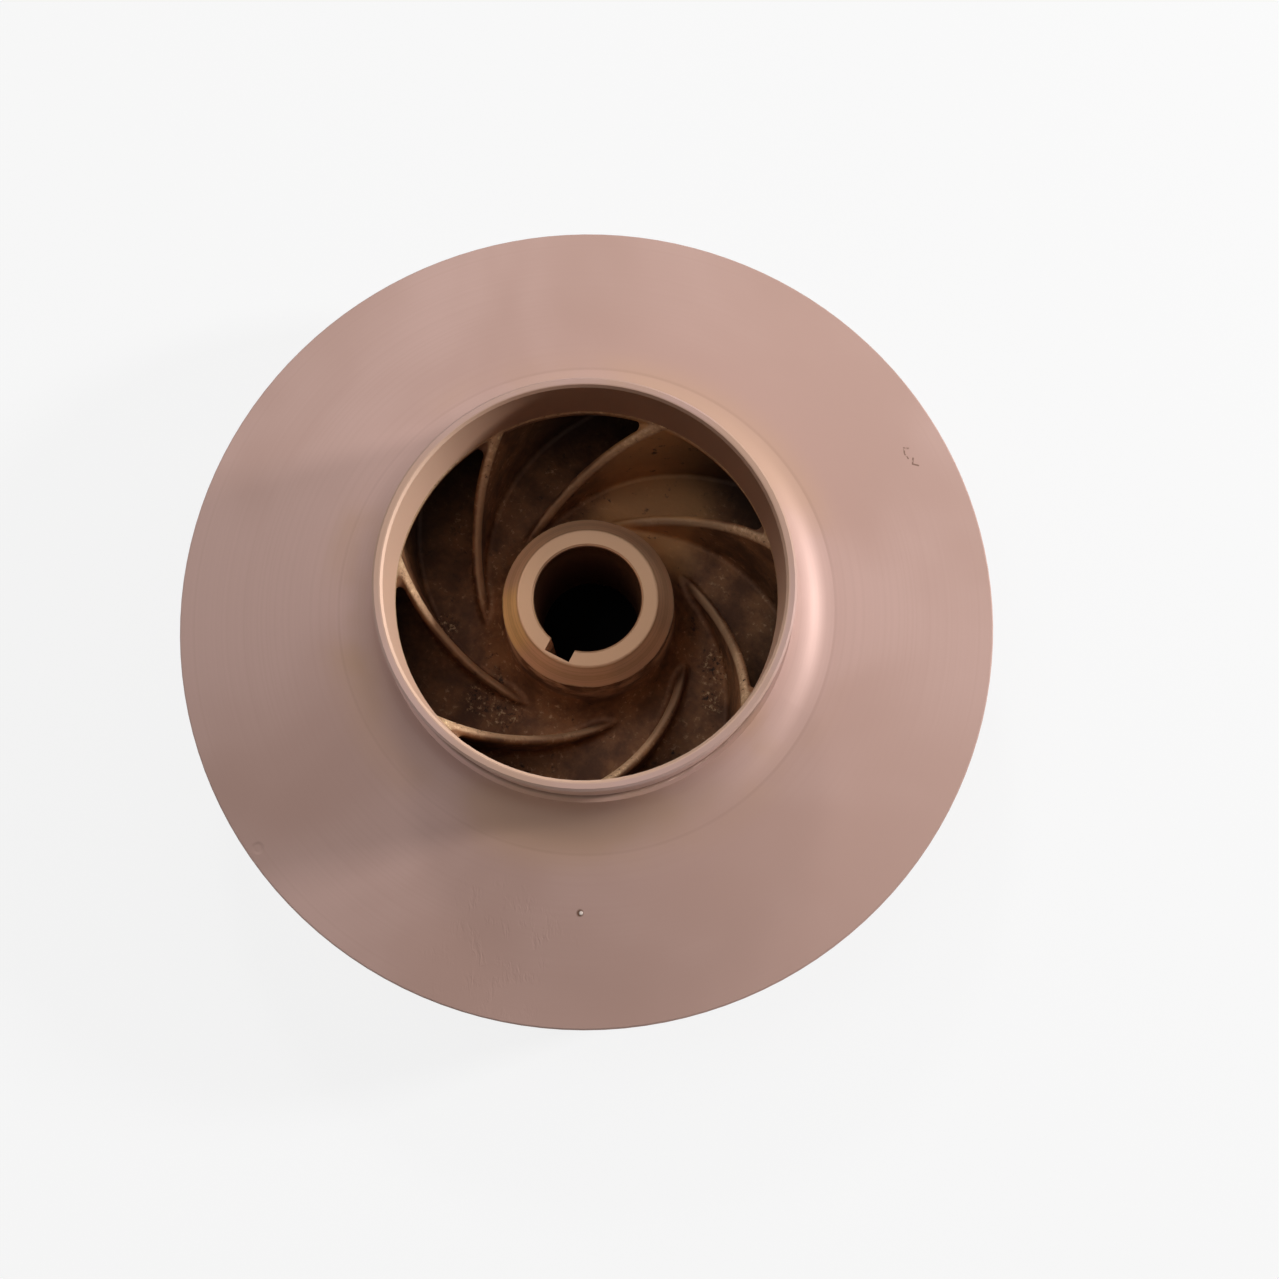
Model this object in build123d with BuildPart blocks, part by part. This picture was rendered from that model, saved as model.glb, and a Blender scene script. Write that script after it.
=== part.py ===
"""Closed pump impeller, a single bronze casting.

Two shrouds of revolution are joined by backward-curved vanes.  The front shroud carries the suction
eye and its wear ring, the back shroud carries the hub with its keyed bore.  The axis of rotation is Z,
the eye opens towards +Z, the keyway points to -Y and the rear hub face lies on Z = 0.
"""
import os
from math import atan2, cos, degrees, hypot, radians, sin, tan

from build123d import *

# ---- driving dimensions (mm, degrees) ----
impeller_diameter = 296.8
outlet_width = 24.3           # clear axial gap between the shrouds at the rim
outlet_edge_break = 0.6       # chamfer on the turned edges of the rim
turning_stock = 2.0           # left on the rim of the casting, then turned away

bore_diameter = 38.1
bore_chamfer = 0.8
key_width = 9.525
key_depth = 4.4               # keyway floor beyond the wall of the bore

nose_wall = 5.75              # flat end face of the hub on the eye side, from bore to edge
nose_rise = 14.9              # that face above the outer edge of the front cone
nose_cone_width = 6.0         # turned cone behind it, down to the cast skin
nose_cone_length = 7.5
nose_edge_fillet = 1.0         # between the end face and the cone
hub_spread = 2.2              # how far the cast hub widens from the cone to its root
hub_root_fillet = 14.0

back_wall = 5.0               # back shroud
rear_boss_wall = 17.95        # from the bore to the outside of the rear boss
rear_boss_height = 10.0
rear_boss_fillet = 4.0
rear_boss_chamfer = 1.5

ring_diameter = 139.7         # wear ring, outside
ring_wall = 3.55
ring_length = 23.1            # from the shoulder to the ring's end face
ring_root_fillet = 1.0
ring_edge_break = 0.8
throat_radius = 19.5          # turn from the bored eye into the passages

front_wall = 4.8              # front shroud, measured along the axis
front_cone_rise = 7.97        # how far the cone climbs from the rim to the foot of the flare
flare_width = 16.5            # from the foot of the flare in to the shoulder
shoulder_width = 2.25         # from the top of the flare in to the wear ring
shoulder_rise = 22.5          # shoulder above the outer edge of the cone

vane_count = 7
vane_thickness = 3.6
vane_root_fillet = 2.0
vane_angle_start = 9.0        # between vane and tangent, seen along the axis
vane_angle_eye = 30.0
vane_angle_exit = 22.0
vane_angle_eye_inset = 9.9    # the spiral is steepest this far inside the wall of the eye
vane_phase = 66.4             # direction of the first vane at vane_phase_inset
vane_phase_inset = 12.9       # inside the wall of the eye
vane_lead_in = 12.6           # the spiral starts this far inside the foot of the leading edge
leading_edge_gap = 4.8        # from the root of the hub to the foot of the leading edge
leading_edge_bow = 1.0
leading_edge_round = 1.5
spiral_stations = 16
spiral_steps = 40             # integration steps in each sweep of the spiral

# ---- heights and radii that follow ----
rim_radius = impeller_diameter / 2
blank_radius = rim_radius + turning_stock
bore_radius = bore_diameter / 2
key_floor = bore_radius + key_depth
nose_radius = bore_radius + nose_wall
nose_cone_radius = nose_radius + nose_cone_width
hub_root_radius = nose_cone_radius + hub_spread
rear_boss_radius = bore_radius + rear_boss_wall
ring_radius = ring_diameter / 2
eye_radius = ring_radius - ring_wall
shoulder_radius = ring_radius + shoulder_width
flare_foot_radius = shoulder_radius + flare_width
leading_edge_foot = hub_root_radius + leading_edge_gap
spiral_start = leading_edge_foot - vane_lead_in
spiral_steepest = eye_radius - vane_angle_eye_inset
spiral_phase_radius = eye_radius - vane_phase_inset

back_face = rear_boss_height
floor = back_face + back_wall
front_rim_inner = floor + outlet_width
front_rim_outer = front_rim_inner + front_wall
cone_run = rim_radius - flare_foot_radius
cone_slope = front_cone_rise / cone_run
cone_turn = 90 - degrees(atan2(front_cone_rise, cone_run))
shoulder_height = front_rim_outer + shoulder_rise
ring_face = shoulder_height + ring_length
nose_face = front_rim_outer + nose_rise


def cone_height(radius):
    """Height of the inner face of the front shroud's cone at one radius."""
    return front_rim_inner + cone_slope * (rim_radius - radius)


throat_height = cone_height(eye_radius) + throat_radius * tan(radians(cone_turn / 2))


def vane_angle(radius):
    """Angle between the vane and the tangent at one radius: it opens up to the eye, then eases."""
    if radius < spiral_steepest:
        t = (radius - spiral_start) / (spiral_steepest - spiral_start)
        return vane_angle_start + (vane_angle_eye - vane_angle_start) * t * t * (3 - 2 * t)
    t = (radius - spiral_steepest) / (rim_radius - spiral_steepest)
    return vane_angle_eye + (vane_angle_exit - vane_angle_eye) * t


def sweep_back(radius_from, radius_to):
    """Angle in degrees that the spiral falls back between two radii."""
    step = (radius_to - radius_from) / spiral_steps
    middles = [radius_from + step * (i + 0.5) for i in range(spiral_steps)]
    return degrees(sum(step / (r * tan(radians(vane_angle(r)))) for r in middles))


def vane_side(side, last):
    """Points along one side of the first vane out to the radius last, side = +1 or -1."""
    turn = vane_phase + sweep_back(spiral_start, spiral_phase_radius)
    points = []
    for i in range(spiral_stations):
        radius = spiral_start + (last - spiral_start) * i / (spiral_stations - 1)
        direction = radians(turn - sweep_back(spiral_start, radius))
        normal = direction + radians(vane_angle(radius))
        offset = side * vane_thickness / 2
        x = radius * cos(direction) + offset * cos(normal)
        y = radius * sin(direction) + offset * sin(normal)
        points.append((x, y))
    return points


def corner(sketch, point):
    """The vertex of a sketch that lies at one point."""
    return sketch.vertices().sort_by_distance(point)[0]


# ---- one vane: its plan shape, trimmed to the curved space between the shrouds ----
back_middle = back_face + back_wall / 2
front_middle = front_wall / 2
vane_reach = blank_radius + turning_stock
with BuildPart() as vane:
    with BuildSketch(Plane.XY.offset(back_middle)):
        with BuildLine():
            convex = Spline(*vane_side(+1, vane_reach + vane_thickness))
            concave = Spline(*vane_side(-1, vane_reach + vane_thickness))
            Line(convex @ 0, concave @ 0)
            Line(convex @ 1, concave @ 1)
        make_face()
    extrude(amount=ring_face - back_middle)

    with BuildSketch(Plane.XZ) as trim:
        foot = (leading_edge_foot, floor)
        edge_slope = (throat_height - floor) / (eye_radius - leading_edge_foot)
        wall_line = eye_radius + front_middle
        wall_corner = (wall_line, cone_height(wall_line) + front_middle)
        top = (wall_line, throat_height + edge_slope * front_middle)
        with BuildLine():
            SagittaArc(top, foot, leading_edge_bow)
            Polyline(
                foot,
                (leading_edge_foot, back_middle),
                (vane_reach, back_middle),
                (vane_reach, cone_height(vane_reach) + front_middle),
                wall_corner,
                top,
            )
        make_face()
        fillet(corner(trim, wall_corner), throat_radius - front_wall)
    revolve(axis=Axis.Z, mode=Mode.INTERSECT)
    leading_edge = vane.faces().filter_by(GeomType.REVOLUTION)[0]
    fillet(leading_edge.edges().sort_by(SortBy.LENGTH)[-2:], leading_edge_round)


def lies_on_floor(edge):
    """True for an edge on the flat inner face of the back shroud."""
    return all(abs((edge @ t).Z - floor) < 0.01 for t in (0, 0.5, 1))


def lies_on_cone(edge):
    """True for an edge on the conical inner face of the front shroud."""
    places = [edge @ t for t in (0, 0.5, 1)]
    return all(abs(p.Z - cone_height(hypot(p.X, p.Y))) < 0.01 for p in places)


# ---- the casting, then its machined faces ----
with BuildPart() as impeller:
    with BuildSketch(Plane.XZ) as back_profile:
        hub_root = (hub_root_radius, floor)
        nose_edge = (nose_radius, nose_face)
        boss_root = (rear_boss_radius, back_face)
        boss_edge = (rear_boss_radius, 0)
        bore_rear = (bore_radius, 0)
        bore_front = (bore_radius, nose_face)
        with BuildLine():
            Polyline(
                bore_rear,
                boss_edge,
                boss_root,
                (blank_radius, back_face),
                (blank_radius, floor),
                hub_root,
                (nose_cone_radius, nose_face - nose_cone_length),
                nose_edge,
                bore_front,
                close=True,
            )
        make_face()
        fillet(corner(back_profile, hub_root), hub_root_fillet)
        fillet(corner(back_profile, nose_edge), nose_edge_fillet)
        fillet(corner(back_profile, boss_root), rear_boss_fillet)
        chamfer(corner(back_profile, boss_edge), rear_boss_chamfer)
        chamfer(corner(back_profile, bore_rear), bore_chamfer)
        chamfer(corner(back_profile, bore_front), bore_chamfer)
    revolve(axis=Axis.Z)

    with BuildSketch(Plane.XZ) as front_profile:
        flare_foot = (flare_foot_radius, front_rim_outer + front_cone_rise)
        shoulder = (shoulder_radius, shoulder_height)
        ring_root = (ring_radius, shoulder_height)
        ring_outer_edge = (ring_radius, ring_face)
        ring_inner_edge = (eye_radius, ring_face)
        throat_corner = (eye_radius, cone_height(eye_radius))
        with BuildLine():
            TangentArc(flare_foot, shoulder, tangent=(-1, cone_slope))
            Polyline(
                shoulder,
                ring_root,
                ring_outer_edge,
                ring_inner_edge,
                throat_corner,
                (blank_radius, cone_height(blank_radius)),
                (blank_radius, cone_height(blank_radius) + front_wall),
                flare_foot,
            )
        make_face()
        fillet(corner(front_profile, throat_corner), throat_radius)
        fillet(corner(front_profile, ring_root), ring_root_fillet)
        chamfer(corner(front_profile, ring_outer_edge), ring_edge_break)
        chamfer(corner(front_profile, ring_inner_edge), ring_edge_break)
    revolve(axis=Axis.Z)

    with PolarLocations(0, vane_count):
        add(vane.part)

    # One root edge on the convex side of each vane: the fillet runs on round its leading edge.
    for lies_on_shroud in (lies_on_floor, lies_on_cone):
        roots = impeller.edges().filter_by(GeomType.BSPLINE).filter_by(lies_on_shroud)
        for root in roots.sort_by(SortBy.LENGTH)[-vane_count:]:
            fillet(impeller.edges().sort_by_distance(root @ 0.5)[0], vane_root_fillet)

    with BuildSketch(Plane.XZ) as rim_cutter:
        cutter_radius = vane_reach + turning_stock
        with BuildLine():
            Polyline(
                (cutter_radius, 0),
                (rim_radius - outlet_edge_break, 0),
                (rim_radius - outlet_edge_break, back_face),
                (rim_radius, back_face + outlet_edge_break),
                (rim_radius, front_rim_outer - outlet_edge_break),
                (rim_radius - outlet_edge_break, front_rim_outer),
                (rim_radius - outlet_edge_break, ring_face),
                (cutter_radius, ring_face),
                close=True,
            )
        make_face()
    revolve(axis=Axis.Z, mode=Mode.SUBTRACT)

    with BuildSketch():
        with Locations((0, -key_floor / 2)):
            Rectangle(key_width, key_floor)
    extrude(amount=nose_face, mode=Mode.SUBTRACT)

impeller.part.label = "impeller"
os.makedirs("parts", exist_ok=True)
export_step(impeller.part, "parts/impeller.step")
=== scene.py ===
from math import cos, radians, sin

import bpy
from mathutils import Matrix, Vector

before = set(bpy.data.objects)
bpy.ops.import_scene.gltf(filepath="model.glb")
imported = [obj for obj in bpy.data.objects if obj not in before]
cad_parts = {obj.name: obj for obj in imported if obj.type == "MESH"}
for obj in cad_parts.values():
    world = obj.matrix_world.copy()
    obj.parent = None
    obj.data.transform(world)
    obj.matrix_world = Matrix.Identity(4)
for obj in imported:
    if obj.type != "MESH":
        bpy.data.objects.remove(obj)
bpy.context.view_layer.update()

mm = 0.001

# ---- sizes of the casting that the looks refer to ----
rim_radius = 148.4 * mm
rim_top = 44.1 * mm
eye_radius = 66.3 * mm
hub_cone_radius = 30.8 * mm
hub_cone_foot = 51.5 * mm
hub_face = 59.0 * mm
bore_radius = 19.05 * mm
passage_floor = 15.0 * mm
passage_roof = 39.3 * mm      # at the rim
roof_slope = 0.1333
front_wall = 4.8 * mm
throat_height = 67.3 * mm
throat_radius = 19.5 * mm
leading_edge_foot = 37.8 * mm
flare_foot = 88.6 * mm
ring_radius = 69.85 * mm
ring_root = 66.6 * mm
boss_radius = 37.0 * mm       # rear boss, which stands on the floor
blur = 0.25 * mm              # soft edge of a mask

# ---- camera ----
view_azimuth = 34.5           # degrees, the side of the axis that the camera leans to
view_tilt = 12.396            # degrees, between the line of sight to the rim's centre and the axis
view_distance = 436.0 * mm    # from the centre of the rim's top edge
aim_right = 16.83 * mm        # where the picture's middle lies on the plane of the rim's top edge
aim_up = -14.41 * mm
view_roll = 4.641             # degrees
picture_right = 27.06         # degrees round the axis, the side that the picture's right lies on
lens = 33.54                  # mm on a sensor 36 mm wide
world_light = 0.05            # strength of the light from all round
floor_size = 6.0              # metres
floor_gap = 0.2 * mm          # below the casting, so that the two faces don't lie in one plane


# ---- node helpers ----
def node(tree, kind, inputs=None, **settings):
    """A new node: settings are its properties, inputs are values or sockets by input name or number."""
    made = tree.nodes.new(kind)
    for name, value in settings.items():
        setattr(made, name, value)
    for name, value in (inputs or {}).items():
        if isinstance(value, bpy.types.NodeSocket):
            tree.links.new(value, made.inputs[name])
        else:
            made.inputs[name].default_value = value
    return made


def calc(tree, operation, *values):
    """The result of one sum on numbers or sockets."""
    return node(tree, "ShaderNodeMath", dict(enumerate(values)), operation=operation).outputs[0]


def step(tree, value, low, high):
    """0 below low and 1 above high, smooth between them. It falls instead where low is above high."""
    rising = low < high
    ends = {1: min(low, high), 2: max(low, high), 3: 0.0 if rising else 1.0, 4: 1.0 if rising else 0.0}
    return node(tree, "ShaderNodeMapRange", {0: value, **ends}, interpolation_type="SMOOTHSTEP").outputs[0]


def both(tree, *masks):
    """Where all masks hold."""
    result = masks[0]
    for mask in masks[1:]:
        result = calc(tree, "MULTIPLY", result, mask)
    return result


def either(tree, *masks):
    """Where any of the masks holds."""
    result = masks[0]
    for mask in masks[1:]:
        result = calc(tree, "MAXIMUM", result, mask)
    return result


def blend(tree, factor, first, second, mode="MIX"):
    """Two colours mixed by a factor."""
    made = node(tree, "ShaderNodeMix", {0: factor, 6: first, 7: second}, data_type="RGBA", blend_type=mode)
    return made.outputs[2]


def noise(tree, place, scale, detail=4.0, roughness=0.55, distortion=0.0):
    """Fractal noise, 0 to 1."""
    inputs = {"Vector": place, "Scale": scale, "Detail": detail, "Roughness": roughness}
    inputs["Distortion"] = distortion
    return node(tree, "ShaderNodeTexNoise", inputs).outputs[0]


def spot(tree, flat, mark, ragged=0.0, grain=90.0):
    """A round patch, 1 inside, with a ragged edge. The mark is x, y and radius in mm."""
    x, y, size = mark
    away = node(tree, "ShaderNodeVectorMath", {0: flat, 1: (x * mm, y * mm, 0.0)}, operation="DISTANCE")
    away = away.outputs["Value"]
    if ragged:
        shift = calc(tree, "SUBTRACT", noise(tree, flat, grain, 3.0, 0.6), 0.5)
        away = calc(tree, "MULTIPLY_ADD", shift, ragged * size * mm, away)
    return step(tree, away, size * mm, 0.45 * size * mm)


def scratch(tree, flat, start, end, width):
    """A short scratch between two places given in mm."""
    first = Vector((*start, 0.0)) * mm
    run = Vector((*end, 0.0)) * mm - first
    offset = node(tree, "ShaderNodeVectorMath", {0: flat, 1: first}, operation="SUBTRACT").outputs[0]
    share = {0: offset, 1: run / run.length_squared}
    along = node(tree, "ShaderNodeVectorMath", share, operation="DOT_PRODUCT").outputs["Value"]
    along = node(tree, "ShaderNodeClamp", {0: along}).outputs[0]
    nearest = node(tree, "ShaderNodeVectorMath", {0: run, "Scale": along}, operation="SCALE").outputs[0]
    away = node(tree, "ShaderNodeVectorMath", {0: offset, 1: nearest}, operation="DISTANCE").outputs["Value"]
    return step(tree, away, width * mm, 0.4 * width * mm)


def tone(red, green, blue):
    """A colour given as it looks on screen, 11 to 255, as linear values."""
    return tuple(((v / 255 + 0.055) / 1.055) ** 2.4 for v in (red, green, blue)) + (1.0,)


# ---- bronze ----
turned_tone = tone(206, 170, 159)
turned_tone_dull = tone(192, 155, 142)
flare_tone = tone(196, 158, 136)
hub_tone = tone(197, 153, 118)
hub_cone_tone = tone(234, 186, 148)
# colour of the painted reflection on the hub's cone
hub_cone_painted_reflection_tone = tone(255, 208, 142)
eye_tone = tone(230, 190, 164)
# colour of the painted shadow on one side of the eye's wall
eye_wall_painted_shadow_tone = tone(126, 82, 58)
# painted shade: the deep bore is coloured dark brown
bore_painted_shade_tone = tone(96, 60, 38)
cast_tone = tone(168, 118, 80)
cast_tone_dark = tone(100, 64, 42)
# colour of the painted light patch in the upper passages
painted_light_tone = tone(212, 160, 108)
# soot specks and pits, and the painted shade under the front shroud
soot_and_shade_tone = tone(44, 24, 14)
sand_tone = tone(226, 190, 150)
# pale sand grains on the cast skin, and the painted highlight of the leading edges
pale_grain_and_edge_highlight_tone = tone(206, 166, 130)
# colour of the painted glints on the leading edges
painted_glint_tone = tone(255, 226, 178)
# colour of the painted highlight on the nub's top
nub_highlight_tone = tone(255, 236, 224)

# Marks on the casting in the part's frame, painted light and shade among them: x, y and radius, in mm.
# painted light: a lighter golden patch on the cast skin of the upper passages
painted_light_patch = (1.0, 53.0, 33.0)
# painted reflection: a bright golden patch on the left of the hub's cone, where it mirrors the lit wall of
# the eye
hub_cone_painted_reflection = (-20.8, -18.7, 15.0)
# painted shadow: the side of the eye's wall that the ring shades
eye_wall_painted_shadow = (-6.0, 66.0, 92.0)
sandy_patches = (
    (-13.1, -46.0, 9.0),
    (-23.8, -46.3, 9.0),
    (-48.6, -27.0, 7.0),
    (51.5, 7.5, 9.0),
    (56.0, -6.0, 6.0),
)
nub = (47.8, -97.9, 1.6)
# the nub's raised top, where a highlight is painted
nub_top_highlight = (48.1, -97.8, 0.9)
dent = (-62.9, -129.7, 2.5)
wrinkles = (27.5, -118.5, 30.0)
wrinkle_turn = 27.0           # degrees, so that the creases run up the picture
wrinkle_length = 3.0          # times the width of a crease
scratches = (                 # from, to and half width, in mm
    ((77.0, 107.6), (78.8, 108.4), 0.45),
    ((77.0, 107.6), (78.2, 105.6), 0.40),
    ((78.2, 105.6), (80.2, 104.6), 0.40),
    ((81.8, 105.6), (82.6, 103.4), 0.45),
    ((82.6, 103.4), (84.8, 104.0), 0.45),
)

# Grain of the textures: cells for each metre.
cloud_scale = 9.0
grain_scale = 520.0
streak_scale = 900.0
pit_scale = 900.0
lathe_ring_scale = 2600.0
crease_scale = 760.0
crease_cluster_scale = 130.0


class Zones:
    """Places on the casting as masks, 0 to 1, from the distance to the axis and the height."""

    def __init__(self, tree):
        self.place = node(tree, "ShaderNodeTexCoord").outputs["Object"]
        axes = node(tree, "ShaderNodeSeparateXYZ", {0: self.place}).outputs
        self.flat = node(tree, "ShaderNodeCombineXYZ", {0: axes[0], 1: axes[1], 2: 0.0}).outputs[0]
        self.radius = node(tree, "ShaderNodeVectorMath", {0: self.flat}, operation="LENGTH").outputs["Value"]
        self.height = axes[2]
        self.profile = node(tree, "ShaderNodeCombineXYZ", {0: self.radius, 1: self.height, 2: 0.0}).outputs[0]
        self.hub = self.find_hub(tree)
        face_level = step(tree, self.height, hub_face - 0.6 * mm, hub_face - 0.3 * mm)
        self.hub_face = both(tree, self.hub, face_level)
        self.eye_wall = both(
            tree,
            step(tree, self.radius, eye_radius + 1.5 * mm, eye_radius + 0.5 * mm),
            step(tree, self.height, throat_height - blur, throat_height + blur),
        )
        self.bore = step(tree, self.radius, bore_radius + 0.3 * mm, bore_radius + 0.1 * mm)
        self.turned = self.find_turned(tree)
        self.cast = calc(tree, "SUBTRACT", 1.0, self.turned)
        self.leading_edge = self.find_leading_edge(tree)

    def find_hub(self, tree):
        """The turned nose of the hub."""
        waver = calc(tree, "SUBTRACT", noise(tree, self.place, 90.0, 3.0, 0.6), 0.5)
        foot = calc(tree, "MULTIPLY_ADD", waver, 3 * mm, self.height)
        return both(
            tree,
            step(tree, self.radius, hub_cone_radius + 1.2 * mm, hub_cone_radius + 0.6 * mm),
            step(tree, foot, hub_cone_foot - 4 * blur, hub_cone_foot),
        )

    def find_turned(self, tree):
        """All that was turned on a lathe; the rest is cast skin."""
        inward = calc(tree, "SUBTRACT", rim_radius, self.radius)
        roof = calc(tree, "MULTIPLY_ADD", inward, roof_slope, passage_roof + front_wall / 2)
        above_roof = step(tree, calc(tree, "SUBTRACT", self.height, roof), -blur, blur)
        throat_centre = eye_radius + throat_radius
        centre = (throat_centre, throat_height, 0.0)
        from_throat = node(tree, "ShaderNodeVectorMath", {0: self.profile, 1: centre}, operation="DISTANCE")
        wall = throat_radius - front_wall / 2
        throat_skin = step(tree, from_throat.outputs["Value"], wall + blur, wall - blur)
        outside_throat = step(tree, self.radius, throat_centre - 6 * mm, throat_centre - 5 * mm)
        outer_skin = both(tree, above_roof, outside_throat)
        eye_top = step(tree, self.height, throat_height - blur, throat_height + blur)
        rim = step(tree, self.radius, rim_radius - 0.3 * mm, rim_radius - 0.1 * mm)
        back = step(tree, self.height, passage_floor - 1.0 * mm, passage_floor - 2.0 * mm)
        return either(tree, outer_skin, throat_skin, eye_top, self.hub, self.bore, rim, back)

    def find_leading_edge(self, tree):
        """The vanes' inner edges, which lie on a cone between the hub's root and the throat."""
        run = Vector((eye_radius - leading_edge_foot, throat_height - passage_floor, 0.0)).normalized()
        into_vane = Vector((run.y, -run.x, 0.0))
        foot = Vector((leading_edge_foot, passage_floor, 0.0))
        reach = node(tree, "ShaderNodeVectorMath", {0: self.profile, 1: into_vane}, operation="DOT_PRODUCT")
        depth = calc(tree, "SUBTRACT", reach.outputs["Value"], foot.dot(into_vane))
        return both(
            tree,
            step(tree, depth, 1.9 * mm, 0.7 * mm),
            step(tree, self.height, passage_floor + 3 * mm, passage_floor + 9 * mm),
            step(tree, self.radius, leading_edge_foot - 1 * mm, leading_edge_foot + 2 * mm),
            self.cast,
        )


def turned_colours(tree, zones, clouds):
    """Satin turned bronze: rosy outside, yellower at the flare, the hub and the eye, with a painted shadow on
    one side of the eye's wall, a painted reflection on the hub's cone and painted shade in the bore.
    """
    streaks = {"Vector": zones.profile, "Scale": streak_scale, "Detail": 3.0}
    streaks = node(tree, "ShaderNodeTexNoise", streaks).outputs[0]
    colour = blend(tree, step(tree, clouds, 0.36, 0.66), turned_tone, turned_tone_dull)
    colour = blend(tree, step(tree, streaks, 0.2, 1.6), colour, turned_tone_dull)
    stain = noise(tree, zones.place, 16.0, 3.0, 0.5, 0.3)
    at_flare = both(
        tree,
        step(tree, zones.radius, flare_foot + 12 * mm, flare_foot - 4 * mm),
        step(tree, stain, 0.42, 0.62),
    )
    colour = blend(tree, at_flare, colour, flare_tone)
    tool_line = both(
        tree,
        step(tree, zones.radius, flare_foot - 0.2 * mm, flare_foot + 0.4 * mm),
        step(tree, zones.radius, flare_foot + 1.6 * mm, flare_foot + 0.6 * mm),
    )
    root_line = both(
        tree,
        step(tree, zones.radius, ring_radius + 1.3 * mm, ring_radius + 0.3 * mm),
        step(tree, zones.height, ring_root + 2.6 * mm, ring_root + 1.0 * mm),
    )
    lines = either(tree, both(tree, tool_line, stain, 0.15), both(tree, root_line, 0.7))
    colour = blend(tree, lines, colour, cast_tone_dark)
    # painted shadow: a dark brown patch on the side of the eye's wall that the ring shades
    eye_wall_shadow_spot = spot(tree, zones.flat, eye_wall_painted_shadow, 0.25, 30.0)
    wall_colour = blend(tree, both(tree, eye_wall_shadow_spot, 0.75), eye_tone, eye_wall_painted_shadow_tone)
    colour = blend(tree, zones.eye_wall, colour, wall_colour)
    # painted reflection: the hub's cone is brighter and more golden on its left
    cone_colour = blend(tree, spot(tree, zones.flat, hub_cone_painted_reflection, 0.2), hub_cone_tone, hub_cone_painted_reflection_tone)
    wear = noise(tree, zones.profile, 420.0, 3.0, 0.6)
    cone_colour = blend(tree, both(tree, step(tree, wear, 0.45, 0.75), 0.5), cone_colour, cast_tone)
    colour = blend(tree, zones.hub, colour, cone_colour)
    colour = blend(tree, zones.hub_face, colour, hub_tone)
    # painted shade: the bore is coloured dark brown
    return blend(tree, zones.bore, colour, bore_painted_shade_tone)


def cast_colours(tree, zones, grains, sand):
    """Brown cast skin with soot specks, leading edges painted lighter as a highlight with sand grains on
    them, a few sandy patches, a painted light patch, painted shade under the front shroud and painted glints.
    """
    patches = noise(tree, zones.place, 60.0, 6.0, 0.65, 0.1)
    specks = noise(tree, zones.place, 150.0, 4.0, 0.7)
    colour = blend(tree, step(tree, patches, 0.34, 0.70), cast_tone_dark, cast_tone)
    pale_grains = both(tree, step(tree, grains, 0.55, 0.68), step(tree, patches, 0.46, 0.58))
    colour = blend(tree, pale_grains, colour, pale_grain_and_edge_highlight_tone)
    # painted light: the cast skin of the upper passages is coloured lighter and more golden
    painted_light_spot = spot(tree, zones.flat, painted_light_patch, 0.8, 50.0)
    colour = blend(tree, both(tree, painted_light_spot, 0.8), colour, painted_light_tone)
    colour = blend(tree, step(tree, specks, 0.60, 0.74), colour, soot_and_shade_tone)
    colour = blend(tree, both(tree, sand, step(tree, grains, 0.46, 0.36)), colour, soot_and_shade_tone)
    colour = blend(tree, both(tree, sand, step(tree, grains, 0.54, 0.66)), colour, sand_tone)
    sandy = either(
        tree,
        step(tree, zones.height, throat_height - 26 * mm, throat_height - 8 * mm),
        step(tree, noise(tree, zones.place, 60.0, 3.0, 0.5), 0.50, 0.64),
    )
    # painted highlight: the leading edges are coloured lighter than the skin around them, with real sand
    # grains and soot pits on them
    edge = blend(tree, both(tree, sandy, step(tree, grains, 0.46, 0.60)), pale_grain_and_edge_highlight_tone, sand_tone)
    edge = blend(tree, both(tree, sandy, step(tree, grains, 0.40, 0.32)), edge, soot_and_shade_tone)
    colour = blend(tree, zones.leading_edge, colour, edge)
    rubbed = both(
        tree,
        step(tree, zones.radius, hub_cone_radius + 9 * mm, hub_cone_radius + 1 * mm),
        step(tree, zones.height, 26 * mm, 46 * mm),
        step(tree, noise(tree, zones.place, 70.0, 4.0, 0.6), 0.40, 0.62),
    )
    colour = blend(tree, both(tree, rubbed, 0.7), colour, hub_cone_tone)
    # painted shade: the passages under the front shroud are darkened toward soot colour
    painted_shade_under_shroud = both(
        tree,
        step(tree, zones.radius, eye_radius - 4 * mm, eye_radius + 14 * mm),
        step(tree, zones.radius, rim_radius - 4 * mm, rim_radius - 40 * mm),
    )
    colour = blend(tree, both(tree, painted_shade_under_shroud, 0.85), colour, soot_and_shade_tone)
    # painted glints: bright specks on the leading edges near the throat
    near_throat = step(tree, zones.height, throat_height - 24 * mm, throat_height - 4 * mm)
    painted_glints = both(tree, zones.leading_edge, near_throat, step(tree, grains, 0.60, 0.66))
    return blend(tree, painted_glints, colour, painted_glint_tone)


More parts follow.
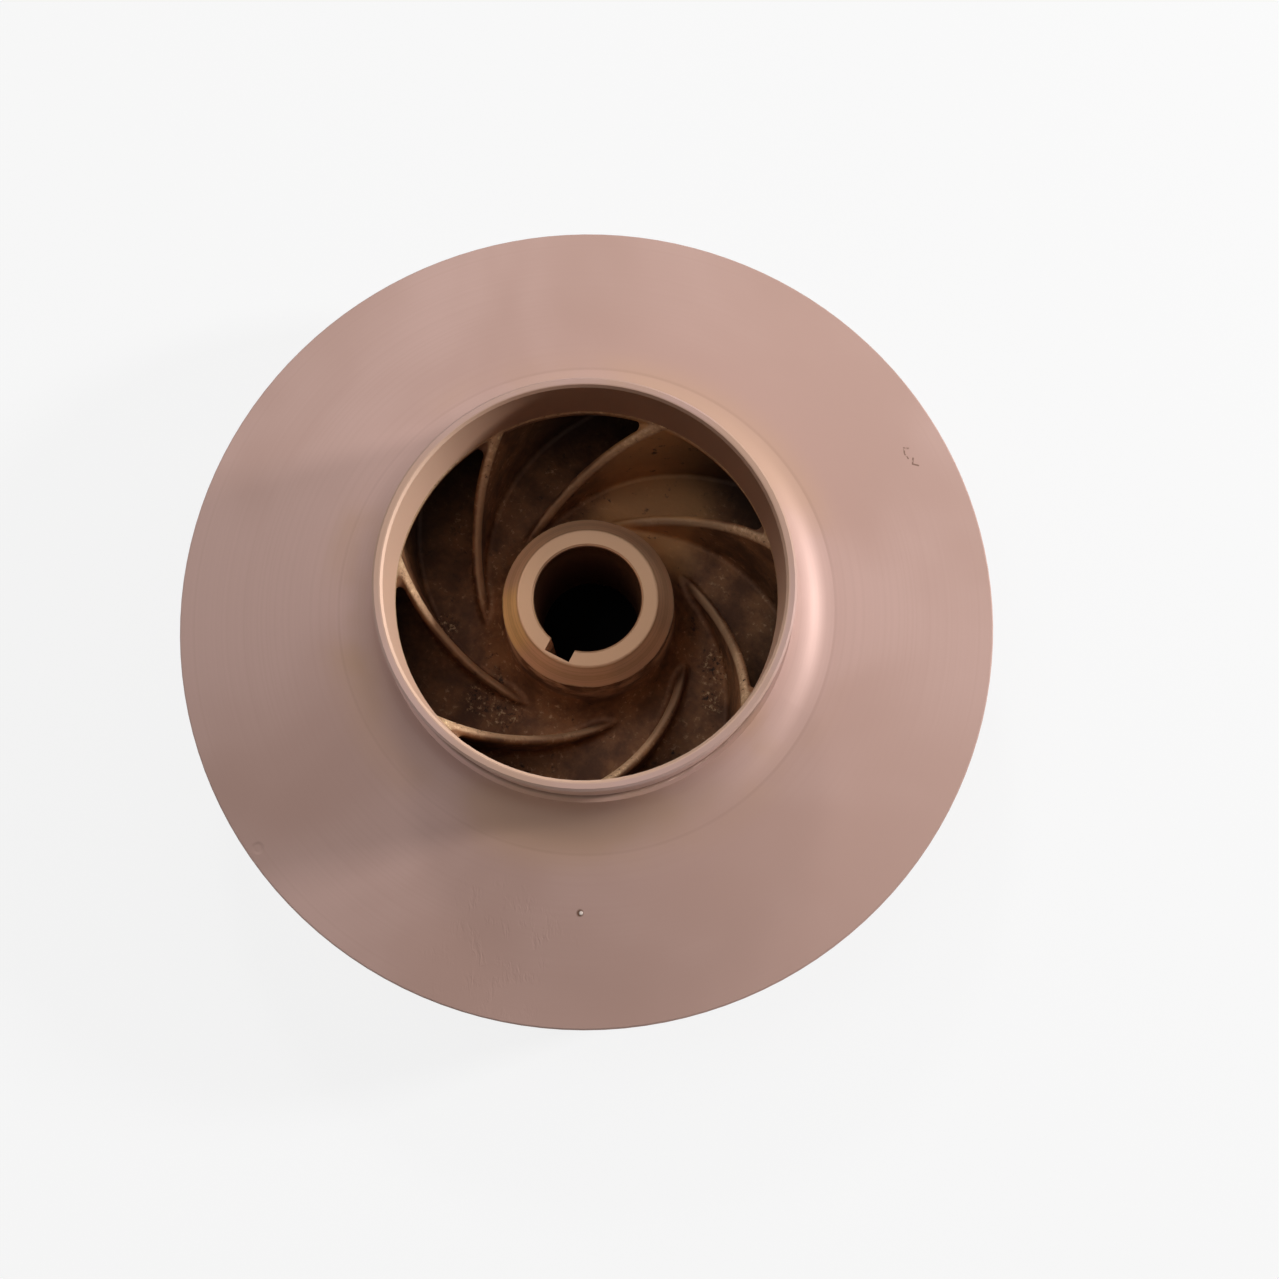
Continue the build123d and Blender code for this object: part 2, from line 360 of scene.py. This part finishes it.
class Marks:
    """Marks on the turned front shroud as masks, 0 to 1; the creases are a height round 0."""

    def __init__(self, tree, zones):
        place, flat = zones.place, zones.flat
        front = both(tree, zones.turned, step(tree, zones.height, rim_top - 1 * mm, rim_top))
        scored = either(tree, *(scratch(tree, flat, *line) for line in scratches))
        self.pits = both(tree, front, scored, step(tree, noise(tree, place, pit_scale), 0.38, 0.5))
        self.nub = both(tree, front, spot(tree, flat, nub, 0.5, 400.0))
        # the nub's top: raised in the relief, and a painted highlight in the colour
        self.nub_top_highlight = both(tree, front, spot(tree, flat, nub_top_highlight))
        self.dent = both(tree, front, spot(tree, flat, dent))
        turn = {
            0: place,
            "Rotation": (0.0, 0.0, radians(wrinkle_turn)),
            "Scale": (1.0, wrinkle_length, 1.0),
        }
        turned_place = node(tree, "ShaderNodeMapping", turn, vector_type="TEXTURE").outputs[0]
        creases = calc(tree, "SUBTRACT", noise(tree, turned_place, crease_scale, 2.0, 0.5, 0.7), 0.5)
        clusters = step(tree, noise(tree, flat, crease_cluster_scale, 2.0, 0.5), 0.46, 0.60)
        self.creases = both(tree, front, spot(tree, flat, wrinkles, 1.2), clusters, creases)


def bronze_colour(tree, zones, marks, clouds, grains, sand):
    """Colour of the whole casting: cast skin, turned faces and the marks on them, with a painted highlight on
    the nub's top.
    """
    colour = turned_colours(tree, zones, clouds)
    colour = blend(tree, both(tree, marks.pits, 0.75), colour, cast_tone_dark)
    colour = blend(tree, marks.nub, colour, cast_tone_dark)
    # painted highlight: the nub's top is coloured near white
    colour = blend(tree, marks.nub_top_highlight, colour, nub_highlight_tone)
    return blend(tree, zones.turned, cast_colours(tree, zones, grains, sand), colour)


def bronze_gloss(tree, zones, clouds):
    """Roughness: satin where it was turned, smoother on the hub, dull on the cast skin."""
    gloss = node(tree, "ShaderNodeMapRange", {0: clouds, 1: 0.3, 2: 0.7, 3: 0.54, 4: 0.60}).outputs[0]
    gloss = calc(tree, "MULTIPLY_ADD", zones.hub, -0.14, gloss)
    return node(tree, "ShaderNodeMix", {0: zones.turned, 2: 0.7, 3: gloss}, data_type="FLOAT").outputs[0]


def bronze_metal(tree, zones):
    """How metallic it is: a little all over, less on the eye's wall and more on the hub's cone."""
    metal = calc(tree, "MULTIPLY_ADD", zones.eye_wall, -0.1, 0.2)
    return calc(tree, "MULTIPLY_ADD", calc(tree, "SUBTRACT", zones.hub, zones.hub_face), 0.2, metal)


def bump(tree, strength, distance, height, normal=None):
    """Relief of a height on top of another normal; the distance is in mm."""
    inputs = {"Strength": strength, "Distance": distance * mm, "Height": height}
    if normal:
        inputs["Normal"] = normal
    return node(tree, "ShaderNodeBump", inputs).outputs[0]


def bronze_relief(tree, zones, marks, grains, sand):
    """Fine lathe rings, the nub, creases and dent, and the sandy cast skin."""
    rings = {"Vector": zones.profile, "Scale": lathe_ring_scale}
    rings = node(tree, "ShaderNodeTexNoise", rings).outputs[0]
    relief = bump(tree, 0.1, 0.05, both(tree, rings, zones.turned))
    height = calc(tree, "MULTIPLY_ADD", marks.creases, 1.1, both(tree, marks.nub_top_highlight, 1.5))
    relief = bump(tree, 0.6, 0.3, calc(tree, "SUBTRACT", height, marks.dent), relief)
    coarse = calc(tree, "MULTIPLY_ADD", either(tree, sand, zones.leading_edge), 1.4, 0.6)
    return bump(tree, 0.7, 0.35, both(tree, grains, zones.cast, coarse), relief)


def bronze_material():
    """Satin turned bronze outside, sandy cast skin in the passages and behind the eye."""
    material = bpy.data.materials.new("bronze_impeller")
    material.use_nodes = True
    tree = material.node_tree
    tree.nodes.clear()
    zones = Zones(tree)
    marks = Marks(tree, zones)
    clouds = noise(tree, zones.place, cloud_scale, 3.0, 0.5, 0.4)
    grains = noise(tree, zones.place, grain_scale, 5.0, 0.7)
    on_floor = both(tree, zones.cast, step(tree, zones.height, 24 * mm, 17 * mm))
    patches = either(tree, *(spot(tree, zones.flat, patch, 1.2) for patch in sandy_patches))
    sand = both(tree, on_floor, patches)
    shader = node(
        tree,
        "ShaderNodeBsdfPrincipled",
        {
            "Base Color": bronze_colour(tree, zones, marks, clouds, grains, sand),
            "Roughness": bronze_gloss(tree, zones, clouds),
            "Metallic": bronze_metal(tree, zones),
            "Normal": bronze_relief(tree, zones, marks, grains, sand),
            "Anisotropic": 0.4,
            "Tangent": node(tree, "ShaderNodeTangent", direction_type="RADIAL", axis="Z").outputs[0],
        },
    )
    node(tree, "ShaderNodeOutputMaterial", {"Surface": shader.outputs[0]})
    return material


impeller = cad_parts["impeller"]
bronze = bronze_material()
for material_slot in impeller.material_slots:
    material_slot.material = bronze


# ---- camera, light and floor ----
def make_camera():
    """The photograph's viewpoint."""
    lean = Matrix.Rotation(radians(view_azimuth), 3, "Z")
    tilt = radians(view_tilt)
    place = lean @ Vector((0, -view_distance * sin(tilt), view_distance * cos(tilt)))
    place.z += rim_top
    aim = lean @ Vector((aim_right, aim_up, 0))
    aim.z += rim_top
    data = bpy.data.cameras.new("camera")
    data.lens = lens
    data.sensor_width = 36.0
    camera = bpy.data.objects.new("camera", data)
    bpy.context.scene.collection.objects.link(camera)
    look = (aim - place).to_track_quat("-Z", "Y").to_matrix()
    look = look @ Matrix.Rotation(radians(view_roll), 3, "Z")
    camera.matrix_world = Matrix.Translation(place) @ look.to_4x4()
    bpy.context.scene.camera = camera


make_camera()


def soft_lamp(name, side, elevation, distance, size, power):
    """A square area lamp facing the rim. side in degrees: 0 is the picture's right and 90 its top."""
    data = bpy.data.lights.new(name, "AREA")
    data.shape = "SQUARE"
    data.size = size
    data.energy = power
    lamp = bpy.data.objects.new(name, data)
    turn = Matrix.Rotation(radians(picture_right + side), 3, "Z")
    towards = turn @ Matrix.Rotation(radians(-elevation), 3, "Y") @ Vector((1, 0, 0))
    lamp.location = Vector((0, 0, rim_top)) + towards * distance
    lamp.rotation_mode = "QUATERNION"
    lamp.rotation_quaternion = (-towards).to_track_quat("-Z", "Y")
    bpy.context.scene.collection.objects.link(lamp)


soft_lamp("window_right", 12, 19, 2.0, 0.24, 31.0)
soft_lamp("window_top", 100, 32, 2.0, 0.24, 6.8)
soft_lamp("fill_right", 55, 35, 2.0, 1.5, 5.5)
soft_lamp("fill_left", 150, 60, 2.0, 1.2, 6.6)


def seen_rays(tree):
    """1 for rays from the camera and for those that a gloss or a glass sends on, else 0."""
    rays = node(tree, "ShaderNodeLightPath").outputs
    seen = calc(tree, "ADD", rays["Is Camera Ray"], rays["Is Glossy Ray"])
    return calc(tree, "MINIMUM", calc(tree, "ADD", seen, rays["Is Transmission Ray"]), 1.0)


def make_world():
    """Even light from all round that looks white."""
    world = bpy.data.worlds.new("studio")
    bpy.context.scene.world = world
    world.use_nodes = True
    tree = world.node_tree
    strength = calc(tree, "MULTIPLY_ADD", seen_rays(tree), 1.0 - world_light, world_light)
    background = tree.nodes["Background"]
    background.inputs[0].default_value = (1.0, 1.0, 1.0, 1.0)
    tree.links.new(strength, background.inputs[1])


make_world()


def make_floor():
    """A plain pale floor that looks white and keeps the object's shadow; under the hub a dark disc is painted
    as shadow.
    """
    bpy.ops.mesh.primitive_plane_add(size=floor_size, location=(0, 0, -floor_gap))
    floor = bpy.context.object
    floor.name = "floor"
    material = bpy.data.materials.new("floor_white")
    material.use_nodes = True
    tree = material.node_tree
    tree.nodes.clear()
    place = node(tree, "ShaderNodeTexCoord").outputs["Object"]
    radius = node(tree, "ShaderNodeVectorMath", {0: place}, operation="LENGTH").outputs["Value"]
    # painted shadow: a near-black disc on the floor under the boss, seen through the bore
    floor_outside_painted_shadow = step(tree, radius, boss_radius - 3 * mm, boss_radius - 1 * mm)
    seen = both(tree, seen_rays(tree), floor_outside_painted_shadow, 0.85)
    paint = blend(tree, floor_outside_painted_shadow, (0.01, 0.01, 0.01, 1.0), (0.9, 0.9, 0.9, 1.0))
    lit = node(tree, "ShaderNodeBsdfDiffuse", {"Color": paint}).outputs[0]
    white = node(tree, "ShaderNodeEmission", {"Color": (1.0, 1.0, 1.0, 1.0), "Strength": 1.0}).outputs[0]
    mixed = node(tree, "ShaderNodeMixShader", {0: seen, 1: lit, 2: white}).outputs[0]
    node(tree, "ShaderNodeOutputMaterial", {"Surface": mixed})
    floor.data.materials.append(material)


make_floor()

bpy.context.scene.view_settings.view_transform = "Standard"
